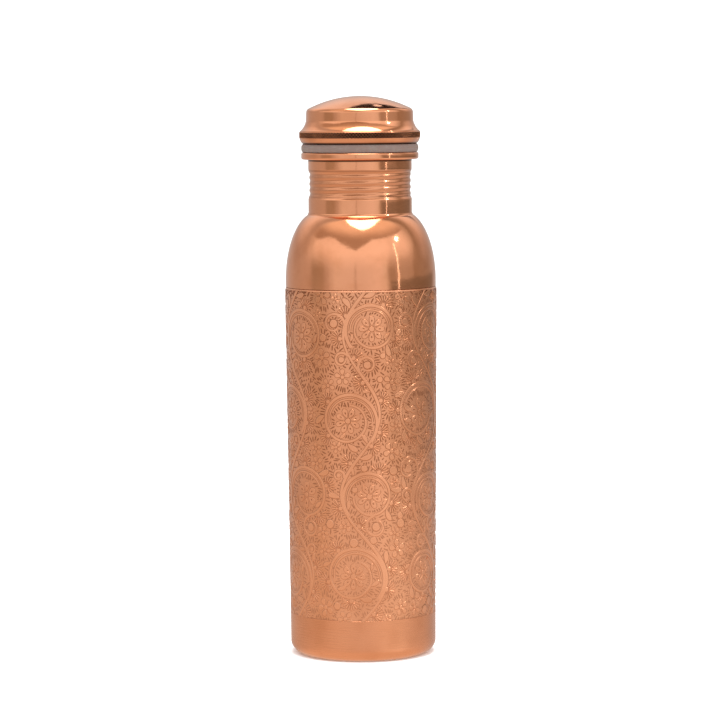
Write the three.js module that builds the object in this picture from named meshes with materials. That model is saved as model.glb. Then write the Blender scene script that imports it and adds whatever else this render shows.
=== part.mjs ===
// A one-litre copper water bottle with a screw lid. Millimetres, +Z up.
// The origin is the centre of the foot, on the surface that the bottle stands on.
// Every piece is turned about +Z. The lid is shown screwed down.
import * as THREE from "three";

// Driving dimensions: the sheet, its joints and the facets.
const WALL = 0.6; // copper sheet
const BRAZE_GAP = 0.05; // between pieces that are brazed, seated or pressed together
const SIDES = 40; // facets round the axis
const ARC_STEPS = 2; // getPoints divisions: twice this many facets on an arc

// Body: foot, tapered barrel, shoulder.
const FOOT_HOLE_R = 27;
const FOOT_R = 30; // outer edge of the flat foot ring
const HEEL = 4.6; // radius between foot and barrel
const BARREL_TOP_R = 36;
const TAPER_END_Z = 168;
const BARREL_TOP_Z = 174.8;
const BARREL_EDGE_R = 35.75; // the top edge is rolled in a little
const DISH_Z = 3; // how far the pressed base stands above the table
const DISH_R = 20;
const BASE_RIM_R = 30.1;
const SKIRT_R = 35.05; // the shoulder's skirt slides into the barrel
const SKIRT_Z = 168.8;
const SHOULDER_R = 35.65;
const SHOULDER_START_Z = 178;
const SHOULDER_RISE = 32.5; // vertical half axis of the shoulder's ellipse
const SHOULDER_DEPTH = 15.3; // radial half axis
const SHOULDER_END_R = 25.5;

// Neck and lip.
const NECK_R = 24.55;
const NECK_BOTTOM_Z = 206.5;
const COLLAR_TOP_Z = 209.9;
const MOUTH_Z = 238.5;
const LIP_R = 27.8;
const LIP_HEIGHT = 3.4;
const LIP_ROUND = 1.2;

// Rolled thread, right-handed, one start. Neck and plug share one phase, so they mesh.
const PITCH = 3;
const ROWS_PER_PITCH = 5;
const THREAD_DEPTH = 0.5;
const NECK_INSET = 0.4; // the thread's crests lie this far inside the plain neck
const THREAD_FADE = 1.2; // height over which a thread runs out
const NECK_THREAD = [216.2, 230.6];
const PLUG_THREAD = [217.2, 227.4];

// Lid: seal, grip ring, plug and cap.
const SEAL_HEIGHT = 3.8;
const SEAL_R = 27.75;
const SEAL_EDGE_R = 26.9; // where its rounded rim begins
const SEAL_HOLE_R = 23.3;
const GRIP_R = 28.65;
const GRIP_HEIGHT = 5.9;
const GRIP_HOLE_R = 23.25;
const GRIP_FOOT_R = 26.7;
const KNURL_HEIGHT = 2.7;
const PLUG_BOTTOM_Z = 214.5;
const PLUG_ROOT_R = 22.65;
const PLUG_SHANK_R = 23.1;
const PLUG_SHANK_Z = 232.8; // the shank widens above the thread
const PLUG_FLANGE_R = 26.4;
const PLUG_CORNER = 1.5;
const CAP_FOOT_R = 28.3;
const CAP_BAND_R = 25.35;
const CAP_BAND_Z = [252.4, 256.6];
const CAP_EDGE_R = 24; // where the band's rounded edge meets the dome
const CAP_TOP_Z = 265;
const DOME_SPHERE_R = 53;

// Heights that follow from the stack of seated pieces.
const SEAL_Z = MOUTH_Z + BRAZE_GAP;
const GRIP_Z = SEAL_Z + SEAL_HEIGHT + BRAZE_GAP;
const CAP_FOOT_Z = GRIP_Z + GRIP_HEIGHT + BRAZE_GAP;

const polished = new THREE.MeshStandardMaterial({ color: 0xc98a68, roughness: 0.14, metalness: 1 });
const etched = new THREE.MeshStandardMaterial({ color: 0xc07d58, roughness: 0.38, metalness: 1 });
const knurled = new THREE.MeshStandardMaterial({ color: 0xa8694a, roughness: 0.3, metalness: 1 });
const silicone = new THREE.MeshStandardMaterial({ color: 0x9a8f8a, roughness: 0.55, metalness: 0 });

const point = (r, z) => new THREE.Vector2(r, z);

// A path's points (radius, height), without the doubled ones where its curves meet.
function outline(path) {
  const points = [];
  for (const p of path.getPoints(ARC_STEPS)) {
    if (!points.length || p.distanceTo(points[points.length - 1]) > 1e-4) points.push(p);
  }
  return points;
}

// The other face of a sheet, WALL to the left of its outline, corners mitred.
function otherFace(points) {
  const normals = points.slice(1).map((p, i) => {
    const along = p.clone().sub(points[i]).normalize();
    return point(-along.y, along.x);
  });
  return points.map((p, i) => {
    const before = normals[Math.max(i - 1, 0)];
    const after = normals[Math.min(i, normals.length - 1)];
    const middle = before.clone().add(after).normalize();
    const moved = p.clone().addScaledVector(middle, WALL / middle.dot(after));
    return p.x < 1e-6 ? point(0, moved.y) : moved;
  });
}

// The closed section of a sheet piece.
function sheet(points) {
  return [...points, ...otherFace(points).reverse()];
}

// A turned solid from its section, which runs up the outside and down the inside.
function turned(section) {
  const onAxis = section[0].x < 1e-6 && section[section.length - 1].x < 1e-6;
  const loop = onAxis ? section : [...section, section[0]];
  return new THREE.LatheGeometry(loop, SIDES).rotateX(Math.PI / 2);
}

// 1 inside a thread's length, falling smoothly to 0 at its ends.
function threadStrength([low, high], z) {
  const ramp = THREE.MathUtils.smoothstep;
  return ramp(z, low, low + THREAD_FADE) * (1 - ramp(z, high - THREAD_FADE, high));
}

// Rolls a thread into a turned sheet: both faces move by move(strength, wave), with wave 1 on crests.
function rollThread(geometry, zone, move) {
  const place = geometry.getAttribute("position");
  for (let i = 0; i < place.count; i++) {
    const [x, y, z] = [place.getX(i), place.getY(i), place.getZ(i)];
    const radius = Math.hypot(x, y);
    const strength = threadStrength(zone, z);
    if (radius < 1e-6 || strength === 0) continue;
    const wave = Math.cos((2 * Math.PI * z) / PITCH - Math.atan2(y, x));
    const scale = (radius + move(strength, wave)) / radius;
    place.setXY(i, x * scale, y * scale);
  }
  return geometry;
}

// Adds a straight wall with one row of points for each step of the thread.
function threadRows(path, radius, [low, high]) {
  const rows = Math.ceil((high - low) / (PITCH / ROWS_PER_PITCH));
  for (let i = 0; i <= rows; i++) path.lineTo(radius, low + ((high - low) * i) / rows);
  return path;
}

// Etched tapered tube whose lower end is spun in to a foot ring.
function barrel() {
  const path = new THREE.Path()
    .moveTo(FOOT_HOLE_R, 0)
    .lineTo(FOOT_R, 0)
    .absarc(FOOT_R, HEEL, HEEL, -Math.PI / 2, 0)
    .lineTo(BARREL_TOP_R, TAPER_END_Z)
    .quadraticCurveTo(BARREL_TOP_R, BARREL_TOP_Z - 3, BARREL_EDGE_R, BARREL_TOP_Z);
  return turned(sheet(outline(path)));
}

// Pressed base, brazed inside on the foot ring, its middle raised clear of the table.
function baseDisc() {
  const seat = WALL + BRAZE_GAP;
  const path = new THREE.Path()
    .moveTo(0, DISH_Z)
    .lineTo(DISH_R, DISH_Z)
    .bezierCurveTo(DISH_R + 2.5, DISH_Z, DISH_R + 2.5, seat, DISH_R + 5, seat)
    .lineTo(BASE_RIM_R, seat);
  return turned(sheet(outline(path)));
}

// Spun shoulder with a joggled skirt inside the barrel and a short collar round the neck.
function shoulder() {
  const centreR = SHOULDER_R - SHOULDER_DEPTH;
  const end = Math.acos((SHOULDER_END_R - centreR) / SHOULDER_DEPTH);
  const step = BARREL_TOP_Z + BRAZE_GAP;
  const path = new THREE.Path()
    .moveTo(SKIRT_R, SKIRT_Z)
    .lineTo(SKIRT_R, step)
    .lineTo(SHOULDER_R, step);
  for (const arc of [[0, end * 0.6], [end * 0.6, end]]) {
    path.absellipse(centreR, SHOULDER_START_Z, SHOULDER_DEPTH, SHOULDER_RISE, ...arc);
  }
  const outside = outline(path);
  const bore = NECK_R + BRAZE_GAP;
  const inside = otherFace(outside).reverse();
  const collar = [
    point(bore + 0.4, COLLAR_TOP_Z - 0.9),
    point(bore + 0.12, COLLAR_TOP_Z),
    point(bore, COLLAR_TOP_Z),
    point(bore, inside[0].y - 0.4),
  ];
  return turned([...outside, ...collar, ...inside]);
}

// Neck tube with the female thread rolled through its wall.
function neck() {
  const path = new THREE.Path().moveTo(NECK_R, NECK_BOTTOM_Z);
  threadRows(path, NECK_R, NECK_THREAD);
  path.lineTo(NECK_R, MOUTH_Z);
  const move = (strength, wave) => -strength * (NECK_INSET + (THREAD_DEPTH * (1 - wave)) / 2);
  return rollThread(turned(sheet(outline(path))), NECK_THREAD, move);
}

// Solid round-edged ring that stiffens the mouth and carries the seal.
function lipRing() {
  const edge = LIP_R - LIP_ROUND;
  const low = MOUTH_Z - LIP_HEIGHT;
  const path = new THREE.Path()
    .moveTo(NECK_R + BRAZE_GAP, low)
    .lineTo(edge, low)
    .absarc(edge, low + LIP_ROUND, LIP_ROUND, -Math.PI / 2, 0)
    .absarc(edge, MOUTH_Z - LIP_ROUND, LIP_ROUND, 0, Math.PI / 2)
    .lineTo(NECK_R + BRAZE_GAP, MOUTH_Z);
  return turned(outline(path));
}

// Silicone washer with a rounded rim, squeezed between lip and grip ring.
function seal() {
  const middle = SEAL_Z + SEAL_HEIGHT / 2;
  const bulge = SEAL_R - SEAL_EDGE_R;
  const path = new THREE.Path()
    .moveTo(SEAL_HOLE_R, SEAL_Z)
    .lineTo(SEAL_EDGE_R, SEAL_Z)
    .absellipse(SEAL_EDGE_R, middle, bulge, SEAL_HEIGHT / 2, -Math.PI / 2, Math.PI / 2)
    .lineTo(SEAL_HOLE_R, SEAL_Z + SEAL_HEIGHT);
  return turned(outline(path));
}

// Solid ring whose widest band carries the knurling.
function gripRing() {
  const top = GRIP_Z + GRIP_HEIGHT;
  const knurlTop = top - 0.6;
  const knurlBottom = knurlTop - KNURL_HEIGHT;
  const path = new THREE.Path()
    .moveTo(GRIP_HOLE_R, GRIP_Z)
    .lineTo(GRIP_FOOT_R, GRIP_Z)
    .quadraticCurveTo(GRIP_R - 0.5, GRIP_Z + 0.6, GRIP_R - 0.1, knurlBottom)
    .lineTo(GRIP_R, knurlTop)
    .lineTo(CAP_FOOT_R, top)
    .lineTo(GRIP_HOLE_R, top);
  return turned(outline(path));
}

// Drawn cup with the male thread rolled through its wall and a flange on top of the grip ring.
function threadedPlug() {
  const path = new THREE.Path()
    .moveTo(0, PLUG_BOTTOM_Z)
    .lineTo(PLUG_ROOT_R - PLUG_CORNER, PLUG_BOTTOM_Z)
    .absarc(PLUG_ROOT_R - PLUG_CORNER, PLUG_BOTTOM_Z + PLUG_CORNER, PLUG_CORNER, -Math.PI / 2, 0);
  threadRows(path, PLUG_ROOT_R, PLUG_THREAD);
  path
    .lineTo(PLUG_ROOT_R, PLUG_SHANK_Z - 1.2)
    .lineTo(PLUG_SHANK_R, PLUG_SHANK_Z)
    .lineTo(PLUG_SHANK_R, CAP_FOOT_Z)
    .lineTo(PLUG_FLANGE_R, CAP_FOOT_Z);
  const move = (strength, wave) => (strength * THREAD_DEPTH * (1 + wave)) / 2;
  return rollThread(turned(sheet(outline(path))), PLUG_THREAD, move);
}

// Pressed cap: a flared foot, an upright band and a shallow dome.
function cap() {
  const [bandLow, bandHigh] = CAP_BAND_Z;
  const centreZ = CAP_TOP_Z - DOME_SPHERE_R;
  const start = Math.acos(CAP_EDGE_R / DOME_SPHERE_R);
  const edgeZ = centreZ + DOME_SPHERE_R * Math.sin(start);
  const middle = (start + Math.PI / 2) / 2;
  const path = new THREE.Path()
    .moveTo(CAP_FOOT_R, CAP_FOOT_Z)
    .quadraticCurveTo(26, 250.2, CAP_BAND_R + 0.15, bandLow)
    .lineTo(CAP_BAND_R, bandHigh)
    .quadraticCurveTo(CAP_BAND_R, bandHigh + 1.7, CAP_EDGE_R, edgeZ)
    .absarc(0, centreZ, DOME_SPHERE_R, start, middle)
    .absarc(0, centreZ, DOME_SPHERE_R, middle, Math.PI / 2);
  const section = sheet(outline(path));
  const [above, last] = section.slice(-2);
  const share = (CAP_FOOT_Z - last.y) / (above.y - last.y);
  last.lerp(above, share); // the inner face's foot, cut level
  return turned(section);
}

const pieces = [
  ["barrel", barrel, etched],
  ["base_disc", baseDisc, polished],
  ["shoulder", shoulder, polished],
  ["neck", neck, polished],
  ["lip_ring", lipRing, polished],
  ["seal", seal, silicone],
  ["grip_ring", gripRing, knurled],
  ["threaded_plug", threadedPlug, polished],
  ["cap", cap, polished],
];

const bottle = new THREE.Group();
for (const [name, make, material] of pieces) {
  const mesh = new THREE.Mesh(make(), material);
  mesh.name = name;
  bottle.add(mesh);
}

export default bottle;
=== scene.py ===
import math

import bmesh
import bpy
import numpy as np
from bpy.props import FloatProperty, FloatVectorProperty, IntProperty, PointerProperty
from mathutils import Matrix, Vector


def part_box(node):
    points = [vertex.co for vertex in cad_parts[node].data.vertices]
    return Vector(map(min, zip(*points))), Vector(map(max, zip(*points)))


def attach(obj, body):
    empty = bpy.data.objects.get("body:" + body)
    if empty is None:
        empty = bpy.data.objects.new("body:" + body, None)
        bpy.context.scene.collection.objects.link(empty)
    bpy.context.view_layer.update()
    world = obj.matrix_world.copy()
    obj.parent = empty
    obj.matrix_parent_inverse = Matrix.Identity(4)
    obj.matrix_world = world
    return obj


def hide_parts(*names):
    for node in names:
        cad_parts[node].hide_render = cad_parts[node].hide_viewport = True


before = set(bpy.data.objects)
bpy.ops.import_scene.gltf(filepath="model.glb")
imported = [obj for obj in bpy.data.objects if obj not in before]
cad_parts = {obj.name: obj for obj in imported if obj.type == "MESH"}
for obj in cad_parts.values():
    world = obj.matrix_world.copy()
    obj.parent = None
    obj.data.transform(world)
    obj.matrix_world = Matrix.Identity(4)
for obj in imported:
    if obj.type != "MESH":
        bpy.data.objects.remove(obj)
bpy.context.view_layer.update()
BOX = {node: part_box(node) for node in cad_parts}

bl_info = {
    "name": "Copper Water Bottle",
    "version": (1, 0, 0),
    "blender": (4, 5, 0),
    "location": "3D View > Sidebar > Bottle",
    "description": "An etched copper water bottle with a screw lid, built round its solid model",
    "category": "Add Mesh",
}

MM = 0.001
TINY = 1e-7
TAU = 2 * math.pi
BRAZE_GAP = 0.05 * MM  # between two pieces that are brazed together
CHAMFER = 0.3 * MM  # on the edges of a solid ring


# ---------------------------------------------------------------- settings


def length(name, description, value, **more):
    """A size in metres that shows in the user's length unit."""
    return FloatProperty(name=name, description=description, default=value, unit="LENGTH",
                         precision=5, min=0, **more)


def colour(name, description, value):
    """A linear colour."""
    return FloatVectorProperty(name=name, description=description, default=value, size=3,
                               subtype="COLOR", min=0, max=1)


class BodySizes(bpy.types.PropertyGroup):
    """Sizes of the barrel, the base and the shoulder."""

    wall: length("Sheet thickness", "Thickness of the copper sheet", 0.6 * MM)
    radius: length("Barrel radius", "Largest radius of the barrel", BOX["barrel"][1].x)
    top: length("Barrel height", "Height of the barrel's upper edge", BOX["barrel"][1].z)
    heel: length("Heel radius", "Rounding between foot and barrel", 6.0 * MM)
    foot_radius: length("Foot radius", "Outer edge of the flat foot ring", 28.6 * MM)
    foot_hole: length("Foot hole", "Radius of the hole in the foot ring", 27 * MM)
    taper_end: length("Taper end", "Height at which the barrel stops widening", 168 * MM)
    edge: length("Edge roll", "How far the upper edge is rolled in", 0.25 * MM)
    dish: length("Base dish", "Height of the raised base above the table",
                 BOX["base_disc"][1].z - 0.6 * MM)
    shoulder_radius: length("Shoulder radius", "Radius at the foot of the shoulder", 35.65 * MM)
    shoulder_start: length("Shoulder start", "Height at which the shoulder starts to close", 178 * MM)
    shoulder_rise: length("Shoulder rise", "Upright half axis of the shoulder's ellipse", 32.5 * MM)
    shoulder_depth: length("Shoulder depth", "Level half axis of the shoulder's ellipse", 15.3 * MM)


class NeckSizes(bpy.types.PropertyGroup):
    """Sizes of the neck, its lip and the rolled thread."""

    radius: length("Neck radius", "Outer radius of the plain neck", 24.55 * MM)
    bottom: length("Neck foot", "Height of the neck's lower edge", BOX["neck"][0].z)
    mouth: length("Mouth height", "Height of the mouth's rim", BOX["neck"][1].z)
    pitch: length("Thread pitch", "Height of one turn of the thread", 3 * MM)
    depth: length("Thread depth", "Height of the thread's ridges", 0.36 * MM)
    inset: length("Thread inset", "How far the ridges lie inside the plain neck", 0.47 * MM)
    thread_low: length("Thread start", "Height at which the neck's thread starts", 216.2 * MM)
    thread_high: length("Thread end", "Height at which the neck's thread ends", 230.6 * MM)
    lip_radius: length("Lip radius", "Outer radius of the lip", BOX["lip_ring"][1].x)
    lip_round: length("Lip rounding", "Rounding of the lip's edges", 1.0 * MM)


class LidSizes(bpy.types.PropertyGroup):
    """Sizes of the seal and the lid."""

    seal_edge: length("Seal edge", "Radius at which the seal's rim starts to round", 26.9 * MM)
    seal_hole: length("Seal hole", "Inner radius of the seal", 23.3 * MM)
    grip_hole: length("Grip hole", "Inner radius of the grip ring", 23.25 * MM)
    grip_foot: length("Grip foot", "Radius of the grip ring's underside", 26.7 * MM)
    knurl_height: length("Knurl height", "Height of the knurled band", 2.7 * MM)
    knurl_depth: length("Knurl depth", "Depth of the knurl's grooves", 0.34 * MM)
    knurl_teeth: IntProperty(name="Knurl teeth", description="Pits round the band",
                             default=120, min=12)
    plug_root: length("Plug radius", "Radius of the plug between its ridges", 22.65 * MM)
    plug_shank: length("Plug shank", "Radius of the plug above its thread", 23.1 * MM)
    plug_shank_z: length("Shank height", "Height at which the plug widens", 232.8 * MM)
    plug_flange: length("Plug flange", "Radius of the flange under the cap", 26.4 * MM)
    plug_low: length("Plug thread start", "Height at which the plug's thread starts", 217.2 * MM)
    plug_high: length("Plug thread end", "Height at which the plug's thread ends", 227.4 * MM)
    cap_foot: length("Cap foot", "Radius of the cap's flared foot", 28.3 * MM)
    cap_band: length("Cap band", "Radius of the cap's upright band", 25.35 * MM)
    cap_band_low: length("Band foot", "Height of the band's lower end", 253.4 * MM)
    cap_band_high: length("Band top", "Height of the band's upper end", 257.0 * MM)
    cap_edge: length("Cap edge", "Radius at which the dome starts", 24 * MM)
    dome: length("Dome radius", "Radius of the sphere that the dome is part of", 53 * MM)


class EtchingSizes(bpy.types.PropertyGroup):
    """Sizes of the etched band on the barrel."""

    low: length("Band foot", "Height of the etched band's lower border", 19.6 * MM)
    rim: length("Rim", "Width of the plain rim above the etching", 0.7 * MM)
    depth: length("Etching depth", "How far the acid has eaten into the sheet", 0.18 * MM)
    columns: IntProperty(name="Stems", description="Stems that climb the barrel", default=6, min=2)
    rows: IntProperty(name="Scrolls", description="Scrolls on each stem", default=4, min=1)
    stem: length("Stem width", "Half the width of a main stem", 0.5 * MM)
    seed: IntProperty(name="Seed", description="Seed of every random draw in the pattern", default=7)


class Finish(bpy.types.PropertyGroup):
    """Colours and roughness of the finishes."""

    copper: colour("Copper", "Colour of clean copper", (0.80, 0.350, 0.190))
    tarnish: colour("Tarnish", "Colour of handled, slightly brown copper", (0.66, 0.262, 0.125))
    raised: colour("Raised", "Colour of the islands between the etched lines", (0.87, 0.405, 0.23))
    oxide: colour("Oxide", "Colour of the etched hollows", (0.24, 0.078, 0.032))
    silicone: colour("Silicone", "Colour of the seal", (0.165, 0.109, 0.092))
    polish: FloatProperty(name="Polish", description="Roughness of polished copper",
                          default=0.085, min=0, max=1)
    satin: FloatProperty(name="Satin", description="Roughness of etched copper",
                         default=0.16, min=0, max=1)


class Studio(bpy.types.PropertyGroup):
    """The camera's place and lens."""

    distance: length("Camera distance", "Level distance from the bottle's axis", 1488 * MM)
    aside: length("Camera aside", "How far the camera stands to the right of the axis", 0.3 * MM)
    height: length("Camera height", "Height of the camera above the floor", 266.8 * MM)
    pitch: FloatProperty(name="Pitch", description="How far the camera looks down", subtype="ANGLE",
                         default=math.radians(4.883))
    roll: FloatProperty(name="Roll", description="How far the camera leans", subtype="ANGLE",
                        default=math.radians(0.43))
    lens: FloatProperty(name="Lens", description="Focal length on a 36 mm sensor", default=156.9)


class BottleSettings(bpy.types.PropertyGroup):
    """Everything that a user would change."""

    body: PointerProperty(type=BodySizes)
    neck: PointerProperty(type=NeckSizes)
    lid: PointerProperty(type=LidSizes)
    etching: PointerProperty(type=EtchingSizes)
    finish: PointerProperty(type=Finish)
    studio: PointerProperty(type=Studio)


def settings():
    return bpy.context.scene.copper_bottle


# ---------------------------------------------------------------- node trees


class Value:
    """A node's output that Python's operators work on: each adds its Math node to the tree."""

    def __init__(self, socket):
        self.socket = socket

    def calculate(self, operation, *values):
        """A Math node in this value's tree, on values in the order given."""
        node = self.socket.id_data.nodes.new("ShaderNodeMath")
        node.operation = operation
        for place, value in zip(node.inputs, values):
            plug(place, value)
        return Value(node.outputs[0])

    def maths(self, operation, *others):
        return self.calculate(operation, self, *others)

    def __add__(self, other):
        return self.maths("ADD", other)

    def __sub__(self, other):
        return self.maths("SUBTRACT", other)

    def __mul__(self, other):
        return self.maths("MULTIPLY", other)

    def __truediv__(self, other):
        return self.maths("DIVIDE", other)

    def __pow__(self, other):
        return self.maths("POWER", other)

    def __rsub__(self, other):
        return self.calculate("SUBTRACT", other, self)

    def __neg__(self):
        return self.maths("MULTIPLY", -1)

    def __gt__(self, other):
        return self.maths("GREATER_THAN", other)

    def __lt__(self, other):
        return self.maths("LESS_THAN", other)

    __radd__ = __add__
    __rmul__ = __mul__

    def ramp(self, low, high):
        """0 at low, 1 at high and smooth in between."""
        share = (self - low) / (high - low)
        share = share.maths("MAXIMUM", 0).maths("MINIMUM", 1)
        return share * share * (3 - 2 * share)


def plug(socket, value):
    """Sets an input, or links it if the value is another node's output."""
    if isinstance(value, Value):
        value = value.socket
    if isinstance(value, bpy.types.NodeSocket):
        socket.id_data.links.new(value, socket)
    else:
        socket.default_value = value


class Tree:
    """A node tree, with the one way in which nodes are added to it."""

    def __init__(self, tree):
        self.tree = tree

    def add(self, kind, settings=None, inputs=None):
        """A new node: its settings first, then the values or links of its inputs."""
        node = self.tree.nodes.new(kind)
        for name, value in (settings or {}).items():
            setattr(node, name, value)
        for name, value in (inputs or {}).items():
            plug(node.inputs[name], value)
        return node

    def value(self, kind, settings=None, inputs=None, output=0):
        """A new node's output, ready for maths."""
        return Value(self.add(kind, settings, inputs).outputs[output])

    def split(self, vector):
        node = self.add("ShaderNodeSeparateXYZ", inputs={0: vector})
        return [Value(output) for output in node.outputs]

    def join(self, x, y, z):
        return self.value("ShaderNodeCombineXYZ", inputs={0: x, 1: y, 2: z})

    def mix(self, share, low, high):
        """A mix of two colours."""
        return self.value("ShaderNodeMix", {"data_type": "RGBA"}, {0: share, 6: low, 7: high}, output=2)

    def noise(self, vector, scale, detail=2.0, roughness=0.5):
        """Noise from 0 to 1 at a scale in cycles per unit of the vector."""
        inputs = {"Vector": vector, "Scale": scale, "Detail": detail, "Roughness": roughness}
        return self.value("ShaderNodeTexNoise", inputs=inputs)

    def stretch(self, vector, factors):
        """A vector multiplied by three numbers."""
        return self.value("ShaderNodeVectorMath", {"operation": "MULTIPLY"}, {0: vector, 1: factors})


class Shape(Tree):
    """A Geometry Nodes tree with named inputs."""

    def __init__(self, name, sizes):
        super().__init__(bpy.data.node_groups.new(name, "GeometryNodeTree"))
        interface = self.tree.interface
        interface.new_socket("Geometry", in_out="INPUT", socket_type="NodeSocketGeometry")
        interface.new_socket("Geometry", in_out="OUTPUT", socket_type="NodeSocketGeometry")
        for label, kind in sizes.items():
            interface.new_socket(label, in_out="INPUT", socket_type="NodeSocket" + kind)
        self.entry = self.tree.nodes.new("NodeGroupInput")
        self.geometry = self.entry.outputs["Geometry"]

    def size(self, label):
        return Value(self.entry.outputs[label])

    def position(self):
        return self.split(self.add("GeometryNodeInputPosition").outputs[0])

    def attribute(self, name):
        return self.value("GeometryNodeInputNamedAttribute", {"data_type": "FLOAT"}, {"Name": name})

    def store(self, name, value):
        """Keeps a number for every point under a name."""
        inputs = {"Geometry": self.geometry, "Name": name, "Value": value}
        kind = {"data_type": "FLOAT", "domain": "POINT"}
        self.geometry = self.add("GeometryNodeStoreNamedAttribute", kind, inputs).outputs[0]

    def move(self, place):
        """Moves every point of the geometry to the place given."""
        inputs = {"Geometry": self.geometry, "Position": place}
        self.geometry = self.add("GeometryNodeSetPosition", inputs=inputs).outputs[0]

    def finish(self):
        """Ends the tree: real geometry, with the finish that the Material input names."""
        real = self.add("GeometryNodeRealizeInstances", inputs={"Geometry": self.geometry}).outputs[0]
        inputs = {"Geometry": real, "Material": self.entry.outputs["Material"]}
        done = self.add("GeometryNodeSetMaterial", inputs=inputs).outputs[0]
        self.add("NodeGroupOutput", inputs={"Geometry": done})
        return self.tree


def bake(source, tree, values):
    """Runs a Geometry Nodes tree on an object and keeps the result as its plain mesh."""
    modifier = source.modifiers.new("Shape", "NODES")
    modifier.node_group = tree
    for item in tree.interface.items_tree:
        if item.in_out == "INPUT" and item.name in values:
            modifier[item.identifier] = values[item.name]
    graph = bpy.context.evaluated_depsgraph_get()
    mesh = bpy.data.meshes.new_from_object(source.evaluated_get(graph))
    source.modifiers.remove(modifier)
    source.data = mesh
    mesh.name = source.name
    return source


# ---------------------------------------------------------------- turned shapes


class Outline:
    """The outer face of a turned piece, as (radius, height) points from its foot upwards."""

    def __init__(self, r, z):
        self.points = [(r, z)]

    def line(self, r, z, rows=1):
        r0, z0 = self.points[-1]
        self.points += [(r0 + (r - r0) * i / rows, z0 + (z - z0) * i / rows) for i in range(1, rows + 1)]
        return self

    def ellipse(self, centre, axes, start, end, rows=12):
        """An arc of an ellipse, from one angle to another in degrees."""
        for i in range(rows + 1):
            angle = math.radians(start + (end - start) * i / rows)
            self.add(centre[0] + axes[0] * math.cos(angle), centre[1] + axes[1] * math.sin(angle))
        return self

    def curve(self, control, end, rows=10):
        """A quadratic curve that leaves towards its control point."""
        start = self.points[-1]
        for i in range(1, rows + 1):
            t = i / rows
            self.add(*((1 - t) ** 2 * a + 2 * t * (1 - t) * b + t * t * c
                       for a, b, c in zip(start, control, end)))
        return self

    def add(self, r, z):
        if math.dist(self.points[-1], (r, z)) > TINY:
            self.points.append((r, z))

    def sheet(self, wall, foot=None):
        """The closed section of a sheet with this outer face; its inner foot can be cut level."""
        place = np.array(self.points)
        along = np.diff(place, axis=0)
        along /= np.linalg.norm(along, axis=1)[:, None]
        normals = np.stack([-along[:, 1], along[:, 0]], axis=1)
        before = np.vstack([normals[:1], normals])
        after = np.vstack([normals, normals[-1:]])
        middle = before + after
        middle /= np.linalg.norm(middle, axis=1)[:, None]
        inner = place + middle * (wall / (middle * after).sum(axis=1))[:, None]
        inner[place[:, 0] < TINY, 0] = 0
        if foot is not None:
            share = (foot - inner[0, 1]) / (inner[1, 1] - inner[0, 1])
            inner[0] += share * (inner[1] - inner[0])
        return self.points + [tuple(p) for p in inner[::-1]]


def new_object(name, verts, faces=(), edges=()):
    mesh = bpy.data.meshes.new(name)
    mesh.from_pydata(verts, edges, faces)
    obj = bpy.data.objects.new(name, mesh)
    bpy.context.scene.collection.objects.link(obj)
    return obj


def turn(name, section, sides):
    """A section turned about the bottle's axis. It runs up the outside and down the inside."""
    verts, rings = [], []
    circle = [(math.sin(TAU * i / sides), -math.cos(TAU * i / sides)) for i in range(sides)]
    for r, z in section:
        on_axis = r < TINY
        count = 1 if on_axis else sides
        rings.append([len(verts)] * sides if on_axis else list(range(len(verts), len(verts) + sides)))
        verts += [(r * x, r * y, z) for x, y in circle[:count]]
    open_ended = section[0][0] < TINY and section[-1][0] < TINY
    pairs = list(zip(rings, rings[1:])) + ([] if open_ended else [(rings[-1], rings[0])])
    faces = []
    for low, high in pairs:
        for i in range(sides):
            j = (i + 1) % sides
            corners = [low[i], low[j], high[j], high[i]]
            faces.append(list(dict.fromkeys(corners)))
    return new_object(name, verts, faces)


def smooth(obj, angle=32):
    """Smooth shading, with edges sharper than an angle in degrees left sharp."""
    obj.data.shade_smooth()
    obj.data.set_sharp_from_angle(angle=math.radians(angle))


def paint(obj, finish, inside=None, is_inside=None):
    """Gives a piece its finish, and another one to the faces that is_inside picks."""
    obj.data.materials.clear()
    obj.data.materials.append(finish)
    if inside is None:
        return
    obj.data.materials.append(inside)
    for face in obj.data.polygons:
        x, y, z = face.center
        face.material_index = int(is_inside(math.hypot(x, y), z))


def place(obj, body, slot, *nodes):
    """Ties a finished piece to its body and hides the solids that it stands for; the slot is not used."""
    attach(obj, body)
    if nodes:
        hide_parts(*nodes)


# ---------------------------------------------------------------- finishes


def new_finish(name):
    """A material with its tree and its position in millimetres."""
    material = bpy.data.materials.new(name)
    material.use_nodes = True
    material.node_tree.nodes.clear()
    tree = Tree(material.node_tree)
    metres = tree.add("ShaderNodeTexCoord").outputs["Object"]
    return material, tree, tree.stretch(metres, (1 / MM,) * 3)


def bump(tree, height, strength=1.0):
    """A normal from a height in millimetres."""
    return tree.value("ShaderNodeBump", inputs={"Height": height, "Strength": strength, "Distance": MM})


def close(tree, **inputs):
    """The surface shader and the output."""
    names = {key.replace("_", " ").title(): value for key, value in inputs.items()}
    if "Ior" in names:
        names["IOR"] = names.pop("Ior")
    shader = tree.add("ShaderNodeBsdfPrincipled", inputs=names)
    tree.add("ShaderNodeOutputMaterial", inputs={"Surface": shader.outputs[0]})


# Near black: dark pits in polished copper, and painted shade where a piece stores it, under the neck's
# lip and in its first groove.
PIT_DIRT_AND_SHADE = (0.05, 0.018, 0.008, 1)
# Near black for the knurl: darkens its pits, and paints shade on the grip ring's lower curve.
KNURL_DARK_AND_SHADE = (0.012, 0.003, 0.002, 1)
WATER_MARK = (0.42, 0.15, 0.07, 1)
FINGER_DUST = (0.26, 0.21, 0.19, 1)


def hollow_of(tree):
    """How dark a point is painted, which the shapes store for every point: oxide in the etched hollows,
    darkened knurl pits, and painted shade under the neck's lip, on the grip ring's lower curve and on the
    etched band's lower border.
    """
    return tree.value("ShaderNodeAttribute", {"attribute_name": "hollow"}, output=2)


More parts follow.
